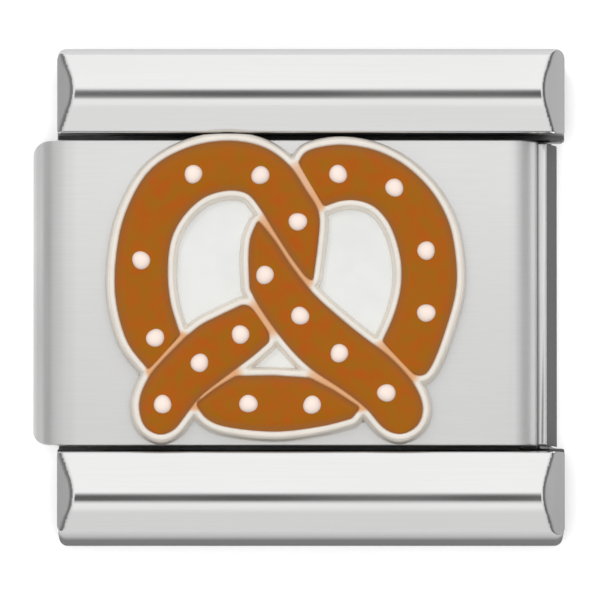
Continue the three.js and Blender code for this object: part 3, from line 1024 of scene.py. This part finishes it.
class CHARM_OT_emblem_plate(bpy.types.Operator):
    """Raises a rounded metal rim round the enamel fields, with walls where two of them meet"""

    bl_idname = "charm.emblem_plate"
    bl_label = "Emblem Plate"

    step = 0.021

    def execute(self, context):
        """Height over a square grid, as a function of the distance to the nearest field: it climbs
        at the field's edge, stays level on the rim and falls as a quarter ellipse to the foot.
        Grid points beyond the foot are drawn in to its edge."""
        size = context.scene.charm_sizes
        low, high = box_mm("charm_plaque")
        x = np.arange(low[0] - 0.05, high[0] + 0.05, self.step)
        y = np.arange(low[1] - 0.05, high[1] + 0.05, self.step)
        grid = np.stack(np.meshgrid(x, y), -1).reshape(-1, 2)
        rings = [softened(outline_of(node), 220, 0.03) for node in FIELDS]
        gap = np.full(len(grid), 9.0)
        second = gap.copy()
        nearest = grid.copy()
        for ring in rings:
            close = np.all((grid > ring.min(0) - 0.4) & (grid < ring.max(0) + 0.4), axis=1)
            for rows in np.array_split(np.flatnonzero(close), 12):
                own, place = distances(grid[rows], ring)
                first = own < gap[rows]
                second[rows] = np.where(first, gap[rows], np.minimum(second[rows], own))
                nearest[rows[first]] = place[first]
                gap[rows[first]] = own[first]
        past = gap > size.foot
        grid[past] = nearest[past] + (grid - nearest)[past] * (size.foot / gap[past])[:, None]
        out = np.minimum(gap, size.foot)
        climb = eased(out, -0.03, 0.025)
        fall = np.clip((out - size.rim + 0.05) / (size.foot - size.rim + 0.05), 0, 1)
        top, foot = high[2], low[2]
        height = foot + 0.12 + (top - foot - 0.12) * climb
        height = foot + (height - foot) * np.sqrt(1 - fall**2)
        grid[:, 1] = np.minimum(grid[:, 1], high[1])
        index = np.arange(len(grid)).reshape(len(y), len(x))
        quads = np.stack([index[:-1, :-1], index[:-1, 1:], index[1:, 1:], index[1:, :-1]], -1)
        quads = quads.reshape(-1, 4)
        quads = quads[(gap[quads].min(1) < size.foot) & (gap[quads].max(1) > -0.12)]
        used, renumbered = np.unique(quads, return_inverse=True)
        # thin walls, where two fields are close, get the painted reflection of the enamel in the rim's
        # material
        thin = 1 - eased(gap + second, 0.13, 0.24)
        item = piece(
            "emblem_rims", np.column_stack([grid, height])[used],
            renumbered.reshape(-1, 4).tolist(), rim_metal(), ["charm_plaque"], sharp=80,
            shades={"thin_wall": thin[used]},
        )
        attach(item, BODY["charm_plaque"])
        return {"FINISHED"}


class CHARM_OT_grounds(bpy.types.Operator):
    """Lays the white enamel in the pretzel's openings"""

    bl_idname = "charm.grounds"
    bl_label = "White Grounds"

    def execute(self, context):
        """Each ground is its outline spread a little under the rims, with a flat top."""
        look = context.scene.charm_looks
        material = white_enamel("white_ground_enamel", look.ground)
        nodes = sorted(n for n in frame["nodes"] if n.startswith("enamel_white_"))
        if not nodes:
            raise RuntimeError("the frame has no white grounds")
        for node in nodes:
            low, high = box_mm(node)
            ring = softened(outline_of(node), 160, 0.02)
            wide = ring + outward(ring) * 0.055
            rows = [np.column_stack([wide, np.full(160, z)]) for z in (low[2], high[2])]
            made = shell(np.stack(rows))
            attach(piece(node + "_fill", *made, material, [node]), BODY[node])
        return {"FINISHED"}


class CHARM_OT_enamel(bpy.types.Operator):
    """Fills each field with enamel, slightly domed and sagging at the rim"""

    bl_idname = "charm.enamel"
    bl_label = "Enamel"

    def field(self, node, size):
        """The outline is split at its two ends into two sides. Points at equal shares of their
        length are joined across by straight lines, and the height along a line is the top plus a
        dome that falls to the sag at both sides as a power of the distance from the middle."""
        low, high = box_mm(node)
        ring = softened(outline_of(node), 480, 0.035)
        ring = ring + outward(ring) * 0.02
        first, last = self.ends(node, ring)
        ring = np.roll(ring, -first, 0)
        split = (last - first) % len(ring)
        count, across = 240, 25
        one = self.resampled(ring[: split + 1], count)
        other = self.resampled(np.concatenate([ring[split:], ring[:1]])[::-1], count)
        t = np.linspace(-1, 1, across)
        share = (np.sin(t * np.pi / 2) + 1) / 2
        xy = one[:, None] * (1 - share[:, None]) + other[:, None] * share[:, None]
        wide = np.linalg.norm(one - other, axis=1)[:, None]
        inset = np.minimum(share, 1 - share) * wide
        near = np.exp(-((inset / 0.09) ** 2))
        rise = size.dome * (1 - near) - size.sag * near
        top = np.concatenate([xy, (high[2] - 0.005 + rise)[..., None]], -1)
        under = np.concatenate([xy[:, ::-1], np.full(xy.shape[:2], low[2] - 0.04)[..., None]], -1)
        # painted shade: full beside the rim and on the underside, for the enamel's colour
        edge = np.concatenate([near, np.ones_like(near)], 1)
        return np.concatenate([top, under], 1), edge

    def resampled(self, line, count):
        length = np.concatenate([[0], np.cumsum(np.linalg.norm(np.diff(line, axis=0), axis=1))])
        every = np.linspace(0, length[-1], count)
        return np.stack([np.interp(every, length, line[:, k]) for k in (0, 1)], 1)

    def ends(self, node, ring):
        """Indices of the ring's points at the strand's two ends, nearest to the given corners of
        the node's box."""
        low, high = box_mm(node)
        span = high[:2] - low[:2]
        marks = {
            "enamel_left_loop": ((0.24, 0.065), (0.965, 0.40)),
            "enamel_right_loop": ((0.08, 0.84), (0.64, 0.07)),
            "enamel_right_arm": ((0.05, 1.0), (0.88, 0.0)),
            "enamel_left_arm": ((0.93, 0.9), (0.14, 0.0)),
            "enamel_bottom_bow": ((0.0, 0.5), (1.0, 0.42)),
        }[node]
        return [
            int(np.argmin(np.linalg.norm(ring - (low[:2] + span * np.array(m)), axis=1)))
            for m in marks
        ]

    def execute(self, context):
        material = brown_enamel()
        for node in FIELDS:
            points, edge = self.field(node, context.scene.charm_sizes)
            made = shell(points, capped=False)
            item = piece(node + "_fill", *made, material, [node], shades={"edge_shade": edge})
            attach(item, BODY[node])
        return {"FINISHED"}


class CHARM_OT_salt(bpy.types.Operator):
    """Sets a low white dome for each salt grain"""

    bl_idname = "charm.salt"
    bl_label = "Salt"

    def execute(self, context):
        material = white_enamel("white_enamel", context.scene.charm_looks.salt)
        chance = np.random.default_rng(7)
        grains = sorted(n for n in frame["nodes"] if n.startswith("salt_"))
        if not grains:
            raise RuntimeError("the frame has no salt nodes")
        around = np.linspace(0, 2 * np.pi, 48, endpoint=False)
        for node in grains:
            # radius wavers with the angle; height falls off as an ellipse from crown to edge
            low, high = box_mm(node)
            middle, half = (low + high) / 2, (high - low) / 2
            shift = chance.uniform(0, 2 * np.pi, 2)
            waver = 0.95 + 0.03 * np.cos(2 * around + shift[0]) + 0.02 * np.cos(3 * around + shift[1])
            climb = np.radians(np.linspace(0, 88, 12))
            reach = np.cos(climb)[:, None] * waver * half[0]
            height = low[2] + 0.004 + (high[2] - low[2] - 0.004) * np.sin(climb)
            x = middle[0] + reach * np.cos(around)
            y = middle[1] + reach * np.sin(around)
            z = np.broadcast_to(height[:, None], x.shape)
            base = np.stack([x[0], y[0], np.full(48, low[2] - 0.06)], -1)[None]
            made = shell(np.concatenate([base, np.stack([x, y, z], -1)]))
            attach(piece(node + "_grain", *made, material, [node]), BODY[node])
        return {"FINISHED"}


class CHARM_OT_stage(bpy.types.Operator):
    """Lays the pale floor, hangs the studio dome and the soft light, and places the camera"""

    bl_idname = "charm.stage"
    bl_label = "Stage"

    def floor(self, context):
        mesh = bpy.data.meshes.new("floor")
        reach = 0.6
        corners = [(-reach, -reach, 0), (reach, -reach, 0), (reach, reach, 0), (-reach, reach, 0)]
        mesh.from_pydata(corners, [], [(0, 1, 2, 3)])
        mesh.materials.append(pale_floor())
        item = bpy.data.objects.new("floor", mesh)
        context.scene.collection.objects.link(item)
        item.location.z = -0.00001

    def dome(self, context):
        """Brightness of the studio by direction: one curve over the angle towards +Y, one over the
        angle towards +X, and a dark hood round one direction a little off the upright."""
        stage = context.scene.charm_stage
        world = bpy.data.worlds.new("studio_dome")
        world.use_nodes = True
        context.scene.world = world
        tree = world.node_tree
        tree.nodes.clear()
        output = tree.nodes.new("ShaderNodeOutputWorld")
        background = tree.nodes.new("ShaderNodeBackground")
        where = tree.nodes.new("ShaderNodeTexCoord")
        parts = tree.nodes.new("ShaderNodeSeparateXYZ")
        tree.links.new(where.outputs["Generated"], parts.inputs[0])

        def math_node(operation, first, second):
            node = tree.nodes.new("ShaderNodeMath")
            node.operation = operation
            for socket, value in zip(node.inputs, (first, second)):
                if isinstance(value, bpy.types.NodeSocket):
                    tree.links.new(value, socket)
                else:
                    socket.default_value = value
            return node.outputs[0]

        def curve_over(angle, stops):
            """A curve over -90 to 90 degrees; each stop is an angle and a brightness."""
            share = math_node("MULTIPLY_ADD", angle, 1 / math.pi)
            share.node.inputs[2].default_value = 0.5
            return grey_ramp(tree, share, [(turn / 180 + 0.5, level) for turn, level in stops])

        towards_y = math_node("ARCTAN2", parts.outputs["Y"], parts.outputs["Z"])
        towards_x = math_node("ARCTAN2", parts.outputs["X"], parts.outputs["Z"])
        over_y = curve_over(towards_y, [
            (-90, 0.25), (-76, 0.22), (-60, 0.4), (-47, 0.69), (-39, 0.68), (-35, 0.76),
            (-29, 0.86), (-14, 0.89), (0, 0.95), (20, 0.93), (48, 0.93), (68, 0.8), (90, 0.6),
        ])
        outwards = [(0, 1.0), (20, 0.86), (40, 0.62), (62, 0.4), (78, 0.38), (90, 0.5)]
        mirrored = [(-turn, level) for turn, level in outwards[:0:-1]]
        over_x = curve_over(towards_x, mirrored + outwards)
        aim = tree.nodes.new("ShaderNodeVectorMath")
        aim.operation = "DOT_PRODUCT"
        aim.inputs[1].default_value = (0, -math.sin(stage.hood_lean), math.cos(stage.hood_lean))
        tree.links.new(where.outputs["Generated"], aim.inputs[0])
        hood = tree.nodes.new("ShaderNodeMapRange")
        hood.interpolation_type = "SMOOTHSTEP"
        hood.inputs["From Min"].default_value = math.cos(math.radians(13))
        hood.inputs["From Max"].default_value = math.cos(math.radians(3.5))
        hood.inputs["To Min"].default_value = 1.0
        hood.inputs["To Max"].default_value = 0.08
        tree.links.new(aim.outputs["Value"], hood.inputs["Value"])
        level = math_node("MULTIPLY", math_node("MULTIPLY", over_y, over_x), hood.outputs[0])
        seen = tree.nodes.new("ShaderNodeLightPath").outputs["Is Camera Ray"]
        plain = tree.nodes.new("ShaderNodeMix")
        plain.data_type = "FLOAT"
        tree.links.new(seen, plain.inputs[0])
        tree.links.new(level, plain.inputs[2])
        plain.inputs[3].default_value = 0.93
        tree.links.new(plain.outputs[0], background.inputs["Color"])
        background.inputs["Strength"].default_value = stage.dome_light
        tree.links.new(background.outputs[0], output.inputs[0])

    def soft_light(self, context, name, power, size, distance, turn):
        """A round light at a distance above the face's middle, turned about x and y, that metal
        doesn't mirror."""
        light = bpy.data.lights.new(name, "AREA")
        light.shape = "DISK"
        light.size = size
        light.energy = power
        item = bpy.data.objects.new(name, light)
        aim = Euler((*turn, 0)).to_matrix() @ Vector((0, 0, distance))
        item.location = aim
        item.rotation_euler = (*turn, 0)
        item.visible_glossy = False
        item.visible_camera = False
        context.scene.collection.objects.link(item)

    def camera(self, context):
        stage = context.scene.charm_stage
        data = bpy.data.cameras.new("camera")
        data.sensor_width = 36.0
        data.lens = 36.0 * stage.distance / stage.view_width
        data.clip_start, data.clip_end = 0.005, 5.0
        item = bpy.data.objects.new("camera", data)
        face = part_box("face_sleeve")[1][2]
        item.location = (
            stage.aim_x * MM,
            stage.aim_y * MM - stage.distance * math.sin(stage.tilt),
            face + stage.distance * math.cos(stage.tilt),
        )
        item.rotation_euler = (stage.tilt, 0, 0)
        context.scene.collection.objects.link(item)
        context.scene.camera = item

    def execute(self, context):
        self.floor(context)
        self.dome(context)
        stage = context.scene.charm_stage
        self.soft_light(context, "camera_fill", stage.fill, 0.05, 0.25, (stage.tilt, 0))
        self.soft_light(context, "upper_left_key", stage.key, 0.06, 0.25, (-0.38, -0.38))
        self.camera(context)
        context.scene.view_settings.view_transform = "Standard"
        return {"FINISHED"}


class CHARM_PT_panel(bpy.types.Panel):
    """Lists the steps that build the link and its stage"""

    bl_label = "Charm Link"
    bl_idname = "CHARM_PT_panel"
    bl_space_type = "VIEW_3D"
    bl_region_type = "UI"
    bl_category = "Charm Link"

    def draw(self, context):
        for step in OPERATORS:
            self.layout.operator(step.bl_idname)


GROUPS = {"charm_sizes": CharmSizes, "charm_looks": CharmLooks, "charm_stage": CharmStage}
OPERATORS = (
    CHARM_OT_face_sleeve,
    CHARM_OT_back_sleeve,
    CHARM_OT_side_rails,
    CHARM_OT_hook_plate,
    CHARM_OT_springs,
    CHARM_OT_emblem_plate,
    CHARM_OT_grounds,
    CHARM_OT_enamel,
    CHARM_OT_salt,
    CHARM_OT_stage,
)


def register():
    for cls in (*GROUPS.values(), *OPERATORS, CHARM_PT_panel):
        bpy.utils.register_class(cls)
    for name, group in GROUPS.items():
        setattr(bpy.types.Scene, name, PointerProperty(type=group))


def unregister():
    for name in GROUPS:
        delattr(bpy.types.Scene, name)
    for cls in (CHARM_PT_panel, *reversed(OPERATORS), *reversed(GROUPS.values())):
        bpy.utils.unregister_class(cls)


def main():
    register()
    for step in OPERATORS:
        group, name = step.bl_idname.split(".")
        getattr(getattr(bpy.ops, group), name)()


if __name__ == "__main__":
    main()
